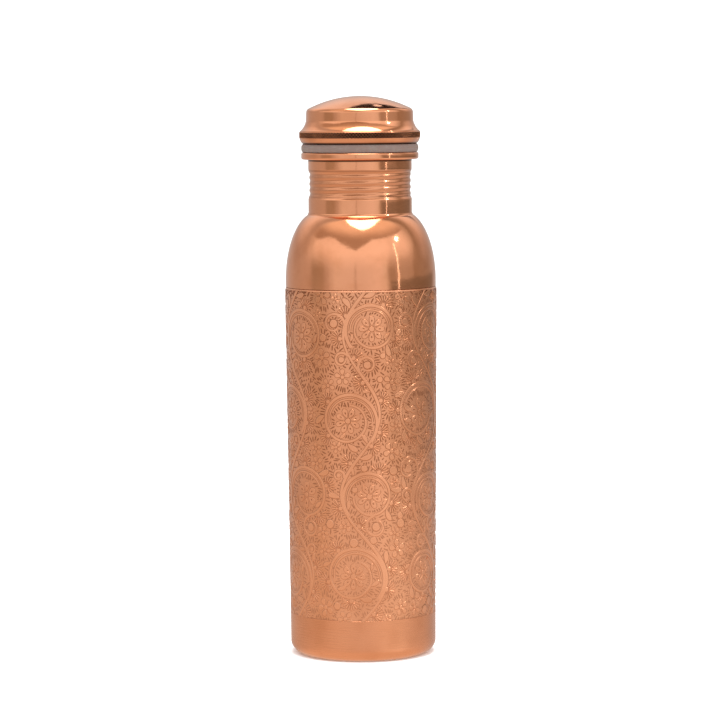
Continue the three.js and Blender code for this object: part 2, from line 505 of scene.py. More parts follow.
def pits(tree, place, scale, radius):
    """1 in small scattered pits, 0 elsewhere."""
    inputs = {"Vector": place, "Scale": scale, "Randomness": 1.0}
    cell = tree.add("ShaderNodeTexVoronoi", {"feature": "F1"}, inputs)
    chosen = Value(tree.split(cell.outputs["Color"])[0].socket) > 0.9
    return chosen * (1 - Value(cell.outputs["Distance"]).ramp(radius * 0.5, radius))


def polished_copper():
    """Hand-polished copper: a wavy mirror with smears, hairlines and dark pits, and the darkening that a
    piece stores, which on the neck is painted shade.
    """
    finish = settings().finish
    material, tree, place = new_finish("polished_copper")
    smears = tree.noise(place, 0.07, 3, 0.55)
    haze = tree.noise(tree.stretch(place, (1, 1, 3)), 0.35, 4, 0.6)
    hairlines = tree.noise(tree.stretch(place, (0.12, 0.12, 4)), 1.6, 2)
    hollow = hollow_of(tree)
    specks = pits(tree, place, 0.16, 0.055)
    tone = tree.mix(smears.ramp(0.42, 0.72) * 0.55, (*finish.copper, 1), (*finish.tarnish, 1))
    # Pits and the stored darkening turn dark; on the neck this is painted shade under the lip and in the
    # first groove.
    tone = tree.mix((specks * 0.8).maths("MAXIMUM", hollow), tone, PIT_DIRT_AND_SHADE)
    waves = tree.noise(place, 0.075, 1) * 0.16 + tree.noise(place, 0.3, 2) * 0.026
    height = waves + hairlines * 0.0012 - specks * 0.04
    rough = finish.polish + smears * 0.03 + haze.ramp(0.45, 0.8) * 0.07 + specks * 0.4 + hollow * 0.25
    close(tree, base_color=tone, metallic=1.0, roughness=rough, normal=bump(tree, height))
    return material


def knurled_copper():
    """Polished copper whose knurled pits are darkened almost to black, the whole ring a little darker,
    with painted shade on the ring's lower curve.
    """
    finish = settings().finish
    material, tree, place = new_finish("knurled_copper")
    hollow = hollow_of(tree)
    smears = tree.noise(place, 0.09, 3, 0.55)
    # darkened pits, a slight darkening over the whole ring, and painted shade on its lower curve
    pit_dark_and_shade = hollow.ramp(0.165, 0.4) * (0.88 + smears * 0.25)
    tone = tree.mix(smears.ramp(0.42, 0.72) * 0.6, (*finish.copper, 1), (*finish.tarnish, 1))
    tone = tree.mix(pit_dark_and_shade.maths("MINIMUM", 1), tone, KNURL_DARK_AND_SHADE)
    height = tree.noise(place, 0.3, 2) * 0.02
    rough = finish.polish + 0.05 + hollow * 0.3
    close(tree, base_color=tone, metallic=1.0, roughness=rough, normal=bump(tree, height))
    return material


def etched_copper():
    """Satin copper islands, with brown oxide in the hollows that handling wears off near the foot, and
    painted shade on the band's lower border where the barrel stores it.
    """
    finish = settings().finish
    material, tree, place = new_finish("etched_copper")
    hollow = hollow_of(tree)
    wear = tree.noise(place, 0.05, 3, 0.6)
    grain = tree.noise(place, 2.6, 3, 0.6)
    kept = 0.5 + 0.5 * tree.split(place)[2].ramp(25, 130)
    oxide = hollow.ramp(0.04, 0.55) * (0.66 + 0.34 * grain) * kept
    tone = tree.mix(wear.ramp(0.4, 0.75) * 0.4, (*finish.raised, 1), (*finish.tarnish, 1))
    tone = tree.mix(oxide, tone, (*finish.oxide, 1))
    height = grain * 0.012 + tree.noise(place, 0.09, 1) * 0.1
    rough = finish.satin + wear * 0.06 + hollow * 0.3
    close(tree, base_color=tone, metallic=1.0, roughness=rough, normal=bump(tree, height))
    return material


def brushed_copper():
    """The plain lower band, the foot and the base: satin, with a fine grain round the bottle."""
    finish = settings().finish
    material, tree, place = new_finish("brushed_copper")
    wear = tree.noise(place, 0.06, 3, 0.6)
    grain = tree.noise(tree.stretch(place, (0.06, 0.06, 5)), 1.4, 3, 0.6)
    tone = tree.mix(wear.ramp(0.4, 0.75) * 0.4, (*finish.copper, 1), (*finish.tarnish, 1))
    tone = tree.mix(grain.ramp(0.5, 0.8) * 0.2, tone, (*finish.tarnish, 1))
    rough = finish.satin + 0.06 + grain * 0.1
    height = grain * 0.006 + tree.noise(place, 0.1, 1) * 0.08
    close(tree, base_color=tone, metallic=1.0, roughness=rough, normal=bump(tree, height))
    return material


def bare_copper():
    """The unpolished inside: dull and browner, with water marks."""
    finish = settings().finish
    material, tree, place = new_finish("bare_copper")
    marks = tree.noise(place, 0.09, 4, 0.65)
    tone = tree.mix(marks.ramp(0.35, 0.7), (*finish.copper, 1), WATER_MARK)
    rough = 0.34 + marks * 0.2
    height = tree.noise(place, 0.8, 3) * 0.03
    close(tree, base_color=tone, metallic=1.0, roughness=rough, normal=bump(tree, height))
    return material


def silicone():
    """Grey silicone: slightly translucent, with a soft sheen and finger dust."""
    finish = settings().finish
    material, tree, place = new_finish("silicone")
    dust = tree.noise(place, 0.35, 4, 0.65)
    tone = tree.mix(dust.ramp(0.45, 0.8) * 0.3, (*finish.silicone, 1), FINGER_DUST)
    rough = 0.42 + dust * 0.15
    height = tree.noise(place, 1.1, 2) * 0.02
    close(tree, base_color=tone, roughness=rough, normal=bump(tree, height),
          subsurface_weight=0.1, ior=1.41)
    return material


MADE_FINISHES = {}


def finish_by(maker):
    """A finish, made when it is first asked for."""
    if maker not in MADE_FINISHES:
        MADE_FINISHES[maker] = maker()
    return MADE_FINISHES[maker]


# ---------------------------------------------------------------- body


def barrel_radius(z):
    """The barrel's outer radius at a height above the heel, for numbers and for node values alike."""
    body = settings().body
    foot = body.foot_radius + body.heel
    return foot + (body.radius - foot) * (z - body.heel) / (body.taper_end - body.heel)


def ground_oxide_and_shade(z, low, rim, depth):
    """How dark the etched ground is painted at a height: a little oxide over the ground, and the lower
    border's step fully dark, oxide at its foot and painted shade over the slope that would mirror the
    softbox.
    """
    if not low - TINY < z < rim - depth / 2:
        return 0.0
    return 1.0 if z < low + 2 * depth else 0.15


def barrel_finish(face):
    """Which finish a face of the barrel has: 0 brushed, 1 etched or 2 bare, on its inside."""
    body = settings().body
    x, y, z = face.center
    shell = barrel_radius(max(z, body.heel)) - body.wall * 0.8
    faces_in = z > body.heel or face.normal.z > 0 or face.normal.x * x + face.normal.y * y < 0
    if z > body.wall * 0.9 and math.hypot(x, y) < shell and faces_in:
        return 2
    return int(z > settings().etching.low)


def barrel():
    body, etching = settings().body, settings().etching
    ground = etching.depth
    rim = body.top - etching.rim
    rolled = body.radius - body.edge * 0.9
    outline = Outline(body.foot_hole, 0).line(body.foot_radius, 0)
    outline.ellipse((body.foot_radius, body.heel), (body.heel, body.heel), -90, 0)
    outline.line(barrel_radius(etching.low), etching.low, 4)
    outline.line(barrel_radius(etching.low) - ground, etching.low + ground)
    outline.line(barrel_radius(etching.low) - ground, etching.low + 3 * ground)
    outline.line(barrel_radius(body.taper_end) - ground, body.taper_end, 24)
    outline.curve((body.radius - ground, rim - 3 * MM), (rolled - ground, rim - ground), 6)
    outline.line(rolled, rim)
    outline.line(body.radius - body.edge - 0.1 * MM, body.top - 0.1 * MM)
    outline.line(body.radius - body.edge - 0.2 * MM, body.top)
    obj = turn("copper_barrel", outline.sheet(body.wall), 256)
    smooth(obj)
    hollows = [ground_oxide_and_shade(point.co.z, etching.low, rim, ground) for point in obj.data.vertices]
    with_numbers(obj, hollow=hollows)
    obj.data.materials.clear()
    for maker in (brushed_copper, etched_copper, bare_copper):
        obj.data.materials.append(finish_by(maker))
    for face in obj.data.polygons:
        face.material_index = barrel_finish(face)
    place(obj, "bottle", "etched_copper", "barrel")


def base_disc():
    body = settings().body
    low, high = BOX["base_disc"]
    seat, disc = low.z, body.dish - body.wall
    # the raised disc, then the slope down to the seat on the foot ring
    outline = Outline(0, disc).line(17 * MM, disc, 6)
    outline.curve((20 * MM, disc), (21.5 * MM, (disc + seat) / 2), 6)
    outline.curve((23 * MM, seat), (26 * MM, seat), 6)
    outline.line(high.x, seat, 2)
    obj = turn("copper_base", outline.sheet(body.wall), 160)
    smooth(obj)
    paint(obj, finish_by(brushed_copper))
    place(obj, "bottle", "base_copper", "base_disc")


def shoulder():
    body, neck = settings().body, settings().neck
    skirt = 35.05 * MM
    step = body.top + BRAZE_GAP
    bore = neck.radius + BRAZE_GAP
    centre = (body.shoulder_radius - body.shoulder_depth, body.shoulder_start)
    outline = Outline(skirt, BOX["shoulder"][0].z).line(skirt, step)
    outline.line(body.shoulder_radius - 0.25 * MM, step)
    outline.line(body.shoulder_radius, step + 0.2 * MM)
    outline.ellipse(centre, (body.shoulder_depth, body.shoulder_rise), 0, 70, 56)
    outside = outline.points
    inside = outline.sheet(body.wall)[len(outside):]
    collar_top = BOX["shoulder"][1].z
    fillet = Outline(*outside[-1])
    fillet.curve((bore + 0.3 * MM, collar_top - 1.1 * MM), (bore + 0.08 * MM, collar_top), 6)
    collar = fillet.points[1:] + [(bore, collar_top), (bore, inside[0][1] - 0.4 * MM)]
    obj = turn("copper_shoulder", outside + collar + inside, 192)
    smooth(obj, 40)

    def is_inside(r, z):
        return r < skirt - body.wall * 0.5 and z < body.top or in_shell(r, z)

    def in_shell(r, z):
        rise = min(max((z - centre[1]) / body.shoulder_rise, 0), 0.999)
        shell = centre[0] + body.shoulder_depth * math.sqrt(1 - rise * rise)
        return r < shell - body.wall * 0.5 and z < collar_top - 3 * MM

    paint(obj, finish_by(polished_copper), finish_by(bare_copper), is_inside)
    place(obj, "bottle", "polished_copper", "shoulder")


# ---------------------------------------------------------------- neck and thread


def thread_tree():
    """Rolls a thread into a turned sheet, and lets it wander as a hand-rolled one does."""
    sizes = {"Low": "Float", "High": "Float", "Pitch": "Float", "Depth": "Float",
             "Shift": "Float", "Wander": "Float", "Material": "Material"}
    shape = Shape("rolled_thread", sizes)
    x, y, z = shape.position()
    radius = (x * x + y * y) ** 0.5
    fade = 2.3 * MM
    low, high = shape.size("Low"), shape.size("High")
    strength = z.ramp(low, low + fade) * (1 - z.ramp(high - fade, high))
    here = shape.add("GeometryNodeInputPosition").outputs[0]
    wander = shape.noise(here, 130, 2) - 0.5
    swell = shape.noise(here, 60, 1) - 0.5
    turned = z * TAU / shape.size("Pitch") - y.maths("ARCTAN2", x)
    wave = (turned + wander * shape.size("Wander")).maths("COSINE")
    depth = shape.size("Depth") * (1 + swell * 0.5)
    move = strength * (shape.size("Shift") + depth * (wave - 1) / 2)
    scale = (radius + move) / radius.maths("MAXIMUM", TINY)
    shape.move(shape.join(x * scale, y * scale, z))
    return shape.finish()


def roll_thread(obj, low, high, shift, wander, finish):
    """Rolls the bottle's thread into a piece, between two heights."""
    neck = settings().neck
    tree = bpy.data.node_groups.get("rolled_thread") or thread_tree()
    values = {"Low": low, "High": high, "Pitch": neck.pitch, "Depth": neck.depth,
              "Shift": shift, "Wander": wander, "Material": finish_by(finish)}
    bake(obj, tree, values)


def neck_painted_shade(z, joint):
    """How dark the neck is painted at a height: painted shade in a line under the lip and in the first
    groove, and a slight darkening over the thread zone.
    """
    sizes = settings().neck
    # painted shade under the lip
    if abs(z - joint) < 0.7 * MM:
        return 0.95
    # painted shade in the first groove
    if abs(z - sizes.thread_high + 0.7 * MM) < 0.5 * MM:
        return 0.4
    return 0.2 if sizes.thread_low + MM < z < sizes.thread_high - MM else 0.0


def neck():
    sizes, body = settings().neck, settings().body
    outline = Outline(sizes.radius, sizes.bottom).line(sizes.radius, sizes.thread_low, 8)
    outline.line(sizes.radius, sizes.thread_high, 84)
    joint = BOX["lip_ring"][0].z
    outline.line(sizes.radius, joint - MM, 4).line(sizes.radius, joint - 0.55 * MM)
    outline.line(sizes.radius, sizes.mouth, 4)
    obj = turn("copper_neck", outline.sheet(body.wall), 192)
    # The neck stores painted shade under its lip and in its first groove.
    with_numbers(obj, hollow=[neck_painted_shade(point.co.z, joint) for point in obj.data.vertices])
    roll_thread(obj, sizes.thread_low, sizes.thread_high, -sizes.inset, 1.4, polished_copper)
    smooth(obj, 45)
    place(obj, "bottle", "polished_copper", "neck")


def lip_ring():
    sizes = settings().neck
    low, high = BOX["lip_ring"]
    bore = sizes.radius + BRAZE_GAP
    edge = sizes.lip_radius - sizes.lip_round
    rounding = (sizes.lip_round, sizes.lip_round)
    outline = Outline(bore, low.z + CHAMFER).line(bore + CHAMFER, low.z).line(edge, low.z)
    outline.ellipse((edge, low.z + sizes.lip_round), rounding, -90, 0)
    outline.ellipse((edge, high.z - sizes.lip_round), rounding, 0, 90)
    outline.line(bore + CHAMFER, high.z).line(bore, high.z - CHAMFER)
    obj = turn("copper_lip", outline.points, 192)
    smooth(obj)
    paint(obj, finish_by(polished_copper))
    place(obj, "bottle", "polished_copper", "lip_ring")


# ---------------------------------------------------------------- lid


def seal():
    sizes = settings().lid
    low, high = BOX["seal"]
    middle = (low.z + high.z) / 2
    rounding = (high.x - sizes.seal_edge, high.z - middle)
    outline = Outline(sizes.seal_hole, low.z + CHAMFER).line(sizes.seal_hole + CHAMFER, low.z)
    outline.line(sizes.seal_edge, low.z, 3)
    outline.ellipse((sizes.seal_edge, middle), rounding, -90, 90, 16)
    outline.line(sizes.seal_hole + CHAMFER, high.z, 3).line(sizes.seal_hole, high.z - CHAMFER)
    obj = turn("silicone_seal", outline.points, 160)
    smooth(obj)
    paint(obj, finish_by(silicone))
    place(obj, "seal", "silicone", "seal")


def knurl_tree():
    """Presses diamond pits into a band, which leaves two crossing sets of ridges."""
    sizes = {"Low": "Float", "High": "Float", "Teeth": "Float", "Depth": "Float", "Lead": "Float",
             "Bore": "Float", "Foot": "Float", "Material": "Material"}
    shape = Shape("knurl", sizes)
    x, y, z = shape.position()
    radius = (x * x + y * y) ** 0.5
    low, high = shape.size("Low"), shape.size("High")
    fade = 0.22 * MM
    strength = z.ramp(low, low + fade) * (1 - z.ramp(high - fade, high)) * (radius > shape.size("Bore"))
    around = y.maths("ARCTAN2", x) * shape.size("Teeth") / TAU
    along = (z - low) / shape.size("Lead")
    flanks = []
    for phase in (around + along, around - along):
        flanks.append(1 - (phase.maths("FRACT") - 0.5).maths("ABSOLUTE") * 2)
    pit = strength * flanks[0].maths("MINIMUM", flanks[1]).ramp(0.04, 0.42)
    # Painted shade on the ring's lower curve over the seal, and a slight darkening (0.21) over the whole
    # ring.
    underside_shade = 1 - z.ramp(shape.size("Foot") + 0.4 * MM, shape.size("Foot") + 1.4 * MM)
    shape.store("hollow", pit.maths("MAXIMUM", 0.21 + underside_shade * 0.12))
    scale = (radius - shape.size("Depth") * pit) / radius.maths("MAXIMUM", TINY)
    shape.move(shape.join(x * scale, y * scale, z))
    return shape.finish()


def grip_ring():
    sizes = settings().lid
    low, high = BOX["grip_ring"]
    band_top = high.z - 0.35 * MM
    band_low = band_top - sizes.knurl_height
    outline = Outline(sizes.grip_hole, low.z).line(sizes.grip_foot - 0.3 * MM, low.z, 2)
    outline.curve((sizes.grip_foot + 0.2 * MM, low.z), (sizes.grip_foot + 0.5 * MM, low.z + 0.35 * MM), 4)
    outline.curve((high.x - 0.6 * MM, low.z + 0.9 * MM), (high.x - 0.12 * MM, band_low), 8)
    outline.line(high.x, band_low + 0.25 * MM, 2).line(high.x, band_top, 24)
    outline.curve((high.x - 0.05 * MM, high.z), (sizes.cap_foot, high.z), 4)
    outline.line(sizes.grip_hole, high.z)
    obj = turn("knurled_grip", outline.points, 8 * sizes.knurl_teeth)
    values = {"Low": band_low, "High": band_top, "Teeth": float(sizes.knurl_teeth),
              "Depth": sizes.knurl_depth, "Lead": sizes.knurl_height * 0.6,
              "Bore": sizes.cap_foot - 0.5 * MM, "Foot": low.z, "Material": finish_by(knurled_copper)}
    bake(obj, knurl_tree(), values)
    smooth(obj, 30)
    place(obj, "lid", "knurled_copper", "grip_ring")


def threaded_plug():
    sizes, body = settings().lid, settings().body
    low, high = BOX["threaded_plug"]
    corner = 1.5 * MM
    top = high.z - body.wall
    dent = low.z + 0.5 * MM
    # the dented bottom, its corner, the thread, the shank and the flange
    outline = Outline(0, dent).line(13 * MM, dent, 3)
    outline.curve((14 * MM, dent), (15 * MM, low.z), 5)
    outline.line(sizes.plug_root - corner, low.z, 2)
    outline.ellipse((sizes.plug_root - corner, low.z + corner), (corner, corner), -90, 0, 8)
    outline.line(sizes.plug_root, sizes.plug_low, 2)
    outline.line(sizes.plug_root, sizes.plug_high, 68)
    outline.line(sizes.plug_root, sizes.plug_shank_z - 1.2 * MM, 3)
    outline.line(sizes.plug_shank, sizes.plug_shank_z, 3)
    outline.line(sizes.plug_shank, top, 4)
    outline.line(sizes.plug_flange, top, 2)
    obj = turn("copper_plug", outline.sheet(body.wall), 192)
    roll_thread(obj, sizes.plug_low, sizes.plug_high, settings().neck.depth, 0.35, polished_copper)
    smooth(obj, 45)
    place(obj, "lid", "polished_copper", "threaded_plug")


def cap():
    sizes, body = settings().lid, settings().body
    low, high = BOX["cap"]
    centre = high.z - sizes.dome
    start = math.acos(sizes.cap_edge / sizes.dome)
    edge = centre + sizes.dome * math.sin(start)
    # the flared foot, the upright band, its rounded edge and the dome
    outline = Outline(sizes.cap_foot, low.z)
    outline.curve((sizes.cap_foot, low.z + 0.3 * MM), (27.9 * MM, low.z + 0.45 * MM), 4)
    outline.curve((26.75 * MM, low.z + 1.6 * MM), (26.3 * MM, low.z + 2.6 * MM), 10)
    band_foot = (sizes.cap_band + 0.1 * MM, sizes.cap_band_low)
    outline.curve((sizes.cap_band + 0.15 * MM, low.z + 4.4 * MM), band_foot, 12)
    outline.line(sizes.cap_band, sizes.cap_band_high, 4)
    outline.curve((sizes.cap_band, sizes.cap_band_high + 1.55 * MM), (sizes.cap_edge, edge), 14)
    outline.ellipse((0, centre), (sizes.dome, sizes.dome), math.degrees(start), 90, 32)
    obj = turn("copper_cap", outline.sheet(body.wall, low.z), 192)
    smooth(obj, 40)
    paint(obj, finish_by(polished_copper))
    place(obj, "lid", "polished_copper", "cap")


# ---------------------------------------------------------------- etched pattern


class Ground:
    """The unrolled band as a grid of cells, each free or taken."""

    def __init__(self, around, low, high):
        self.cell = around / round(around / (0.2 * MM))
        self.low = low
        self.taken = np.zeros((round(around / self.cell), int((high - low) / self.cell) + 1), bool)

    def cells(self, x, y):
        across = np.floor(x / self.cell).astype(int) % self.taken.shape[0]
        up = np.floor((y - self.low) / self.cell).astype(int)
        return across, np.clip(up, 0, self.taken.shape[1] - 1)

    def mark(self, x, y, radius):
        reach = np.arange(-radius, radius + self.cell, self.cell)
        dx, dy = np.meshgrid(reach, reach)
        near = np.hypot(dx, dy) <= radius
        self.taken[self.cells(x + dx[near], y + dy[near])] = True

    def is_free(self, points):
        return not self.taken[self.cells(points[:, 0], points[:, 1])].any()


def heading(angle):
    return np.array([math.cos(angle), math.sin(angle)])


STEP = 0.9 * MM  # between the points of a vine


class Pattern:
    """The etched pattern on the unrolled band: where each motif lies, in metres.

    x runs round the barrel from the front, y is the height. Taken ground is kept as discs.
    A motif is (x, y, angle, size, stretch)."""

    def __init__(self):
        body, etching = settings().body, settings().etching
        self.random = np.random.default_rng(etching.seed)
        self.low, self.high = etching.low, body.top - etching.rim
        self.around = TAU * barrel_radius((self.low + self.high) / 2)
        self.column = self.around / etching.columns
        self.row = (self.high - self.low) / etching.rows
        self.discs = np.zeros((0, 3))
        self.vines = []
        kinds = ("blossom", "primula", "floret", "fan", "leaf", "berry", "stroke")
        self.motifs = {kind: [] for kind in kinds}

    def take(self, xs, ys, radii):
        discs = np.stack(np.broadcast_arrays(xs, ys, radii), axis=-1)
        self.discs = np.vstack([self.discs, discs.reshape(-1, 3)])

    def gap(self, x, y):
        """The distance to the nearest taken disc, and the direction away from it."""
        dx = (x - self.discs[:, 0] + self.around / 2) % self.around - self.around / 2
        dy = y - self.discs[:, 1]
        distance = np.hypot(dx, dy) - self.discs[:, 2]
        nearest = distance.argmin()
        return distance[nearest], math.atan2(dy[nearest], dx[nearest])

    def is_free(self, discs, margin):
        return all(self.gap(x, y)[0] > r + margin for x, y, r in discs)

    def vine(self, points, widths):
        """A ribbon of varying half width along a path."""
        points, widths = np.asarray(points), np.asarray(widths)
        self.vines.append((points, widths))
        self.take(points[:, 0], points[:, 1], widths)

    def motif(self, kind, spot, angle, size, discs):
        """A motif in its place, and the discs of ground that it takes."""
        self.motifs[kind].append((*spot, angle, size, 1.0))
        self.take(*np.array(discs).T)

    def spiral(self, centre, start, turns, radii, widths, hand):
        """A scroll that tightens from the first radius to the second."""
        steps = max(int(turns * TAU * radii[0] / STEP), 12)
        t = np.linspace(0, 1, steps)
        angle = start + hand * turns * TAU * t
        radius = radii[0] + (radii[1] - radii[0]) * t ** 0.85
        x, y = centre[0] + radius * np.cos(angle), centre[1] + radius * np.sin(angle)
        points = np.stack([x, y], axis=1)
        self.vine(points, widths[0] + (widths[1] - widths[0]) * t)
        return points

    def stem_x(self, column, y):
        """Where a climbing stem stands at a height."""
        share = (y - self.low) / self.row
        drift = 0.05 * math.sin(2.1 * share + 2.4 * column)
        return self.column * (column + 0.27 * math.sin(math.pi * share) + drift)

    def stems(self):
        etching = settings().etching
        ys = np.arange(self.low - MM, self.high + 2 * MM, STEP)
        for column in range(etching.columns):
            points = [(self.stem_x(column, y), y) for y in ys]
            swell = 1 + 0.25 * np.sin(ys / self.row * TAU + column)
            self.vine(points, etching.stem * swell)

    def scrolls(self):
        """One scroll in each bay between two stems, with a flower in its eye."""
        etching = settings().etching
        for row in range(etching.rows):
            for column in range(etching.columns):
                hand = 1 if row % 2 == 0 else -1
                y = self.low + (row + 0.5) * self.row
                reach = self.column / 2
                size = reach * self.random.uniform(0.66, 1)
                y += self.random.uniform(-2.5, 2.5) * MM
                centre = np.array([self.stem_x(column, y) - hand * size, y])
                start = math.radians(-42 if hand > 0 else 222)
                turns = self.random.uniform(1.05, 1.35)
                eye = self.random.uniform(7.6, 8.8) * MM * (0.72 + 0.28 * size / reach)
                widths = (0.66 * MM, 0.34 * MM)
                points = self.spiral(centre, start, turns, (size * 0.99, eye), widths, hand)
                self.echo(points, centre)
                kind = ("blossom", "primula")[self.random.integers(2)]
                bloom = eye / (8.3 * MM)
                disc = (*centre, 6.7 * MM * bloom)
                self.motif(kind, centre, self.random.uniform(0, TAU), bloom, [disc])

    def echo(self, points, centre):
        """A thin line that follows the first half of a scroll on its inside."""
        points = points[len(points) // 12:len(points) // 2]
        radius = np.hypot(*(points - centre).T)[:, None]
        self.vine(centre + (points - centre) * (1 - 2.1 * MM / radius), np.full(len(points), 0.24 * MM))

    def beside(self, step, first=4, shortest=0):
        """Spots along every wide vine, by turns on its two sides: point, half width, heading, side."""
        for points, widths in list(self.vines):
            if len(points) < shortest or widths.max() < 0.4 * MM:
                continue
            for i in range(first, len(points) - first, step):
                side = 1 if (i // step) % 2 else -1
                along = points[i + 1] - points[i - 1]
                forward = math.atan2(along[1], along[0])
                yield points[i], widths[i], forward, side

    def fans(self):
        """Fans of long strokes that open away from the vines."""
        for point, width, forward, side in self.beside(11, 6, 40):
            out = heading(forward + side * math.pi / 2)
            root = point + (width + 1.1 * MM) * out
            body = [(*(root + out * 2.6 * MM), 2.4 * MM)]
            if self.is_free(body, 0.25 * MM) and self.low + 2 * MM < root[1] < self.high - 3 * MM:
                self.motif("fan", root, forward + side * math.pi / 2, 1.0, [(*root, 0.9 * MM)] + body)

    def curls(self):
        """Tendrils that roll away from the vines round a berry, as large as the ground allows."""
        for point, width, forward, side in self.beside(8):
            across = forward + side * math.pi / 2
            for radius in np.array([6.4, 5.4, 4.5, 3.6, 2.9]) * MM:
                centre = point + (radius + width) * heading(across)
                core = centre + radius * 0.4 * heading(across)
                inside = self.low + MM < centre[1] < self.high - MM
                if inside and self.is_free([(*core, radius * 0.85)], 0.35 * MM):
                    radii, widths = (radius, radius * 0.55), (0.5 * MM, 0.32 * MM)
                    self.spiral(centre, across + math.pi, 0.9, radii, widths, side)
                    berry = min(radius * 0.34, 1.7 * MM)
                    self.motif("berry", centre, 0, berry / MM, [(*centre, berry)])
                    break

    def leaves(self):
        """Leaves on both sides of every vine, wherever there is room."""
        for point, width, forward, side in self.beside(7, 3, 40):
            angle = forward + side * math.radians(self.random.uniform(38, 62))
            root = point + (width + 0.35 * MM) * heading(forward + side * math.pi / 2)
            for scale in (1.3, 1.0, 0.75):
                size = 4.4 * MM * scale
                body = [(*(root + heading(angle) * size * t), size * w)
                        for t, w in ((0.45, 0.24), (0.85, 0.12))]
                if self.is_free(body, 0.3 * MM):
                    self.motif("leaf", root, angle, scale, body)
                    break

    def scatter(self, kind, count, sizes, unit, margin):
        """Tries random spots for motifs of one kind, each as large as the free ground allows."""
        for _ in range(count):
            x = self.random.uniform(0, self.around)
            y = self.random.uniform(self.low, self.high)
            room, _ = self.gap(x, y)
            radius = min(room - margin, sizes[1])
            if radius > sizes[0]:
                self.motif(kind, (x, y), self.random.uniform(0, TAU), radius / unit, [(x, y, radius)])

    def strokes(self, spacing, margin, pitch):
        """Short strokes on the free ground: they point away from whatever they lie next to."""
        ground = Ground(self.around, self.low, self.high)
        for x, y, radius in self.discs:
            ground.mark(x, y, radius + margin)
        spots = []
        for y in np.arange(self.low, self.high, spacing):
            for x in np.arange(0, self.around, spacing):
                spot = (x, y) + self.random.uniform(-0.4, 0.4, 2) * spacing
                if ground.is_free(spot[None]):
                    room, away = self.gap(*spot)
                    spots.append((room, *spot, away))
        for room, x, y, away in sorted(spots):
            lean = 0.6 * math.sin(x / (2.7 * MM)) * math.sin(y / (3.9 * MM))
            way = heading(away + lean)
            for size in (2.9, 2.1, 1.5, 1.0):
                points = np.array([x, y]) + np.linspace(0, size * MM, 7)[:, None] * way
                if ground.is_free(points):
                    self.motifs["stroke"].append((*points.mean(axis=0), away + lean, 1.0, size))
                    for point in points:
                        ground.mark(*point, pitch)
                    break

    def fill(self):
        self.stems()
        self.scrolls()
        self.fans()
        self.scatter("floret", 260, (3.0 * MM, 4.3 * MM), 3.7 * MM, 0.5 * MM)
        self.curls()
        self.leaves()
        self.scatter("floret", 1500, (2.2 * MM, 3.8 * MM), 3.7 * MM, 0.4 * MM)
        self.scatter("berry", 700, (1.0 * MM, 1.8 * MM), MM, 0.5 * MM)
        self.strokes(0.5 * MM, 0.42 * MM, 0.74 * MM)


WALL = 0.36 * MM  # how far the foot of an island's slope stands out from its top
SUNK = 1.03  # an island's foot lies this share of the etching's depth down, just under the ground


def grown(outline, distance):
    """An outline moved outwards, or inwards by a negative distance."""
    along = np.roll(outline, -1, axis=0) - np.roll(outline, 1, axis=0)
    along /= np.linalg.norm(along, axis=1)[:, None]
    return outline + distance * np.stack([along[:, 1], -along[:, 0]], axis=1)


def shrunk(outline, share):
    """An outline drawn together about its middle."""
    middle = outline.mean(axis=0)
    return middle + (outline - middle) * share


def raised(rings):
    """A solid island from (outline, height, hollow) rings that run up its wall and over its top."""
    verts, faces, hollows = [], [], []
    count = len(rings[0][0])
    for outline, height, hollow in rings:
        verts += [(*point, height) for point in outline]
        hollows += [hollow] * count
    for start in range(0, (len(rings) - 1) * count, count):
        for i in range(count):
            j = (i + 1) % count
            faces.append((start + i, start + j, start + count + j, start + count + i))
    last = len(verts) - count
    faces.append(tuple(range(last, last + count)))
    return verts, faces, hollows


def island(outline, groove=None):
    """An island left standing by the acid, with an engraved line inside it at a share of its size."""
    depth = settings().etching.depth
    outline = np.asarray(outline)
    rings = [(grown(outline, WALL), -depth * SUNK, 1), (outline, 0, 0)]
    if groove:
        rings += [(shrunk(outline, groove + 0.16), 0, 0), (shrunk(outline, groove), -depth * 0.7, 0.8)]
    return raised(rings)


def merge(parts):
    """Several (verts, faces, hollows) as one."""
    verts, faces, hollows = [], [], []
    for some_verts, some_faces, some_hollows in parts:
        start = len(verts)
        verts += some_verts
        faces += [tuple(start + i for i in face) for face in some_faces]
        hollows += some_hollows
    return verts, faces, hollows


def turned_by(outline, angle):
    """An outline turned about the origin."""
    rotation = np.array([[math.cos(angle), math.sin(angle)], [-math.sin(angle), math.cos(angle)]])
    return np.asarray(outline) @ rotation


def circle(radius, count):
    angle = np.linspace(0, TAU, count, endpoint=False)
    return radius * np.stack([np.cos(angle), np.sin(angle)], axis=1)


def drop(size, width, count, bend=0.0):
    """A drop-shaped outline from the origin along x, counter-clockwise, bent to one side."""
    angle = np.linspace(0, TAU, count, endpoint=False)
    x = (1 - np.cos(angle)) / 2
    y = -np.sin(angle) * x ** 0.7 * (1.25 - 0.45 * x)
    return np.stack([x * size, y * width + bend * x * x * size], axis=1)


def flower(petals, outline, start, eye, groove):
    """A ring of petals round an eye."""
    parts = [island(turned_by(outline + (start, 0), TAU * k / petals), groove) for k in range(petals)]
    parts.append(island(circle(eye, 12)))
    return merge(parts)


def fan():
    """Nine long strokes that open from a small round root."""
    strokes = []
    for k in range(-4, 5):
        blade = drop(3.1 * MM, 0.34 * MM, 8) + (1.55 * MM, 0)
        strokes.append(island(turned_by(blade, k * math.radians(19))))
    strokes.append(island(circle(0.9 * MM, 10)))
    return merge(strokes)


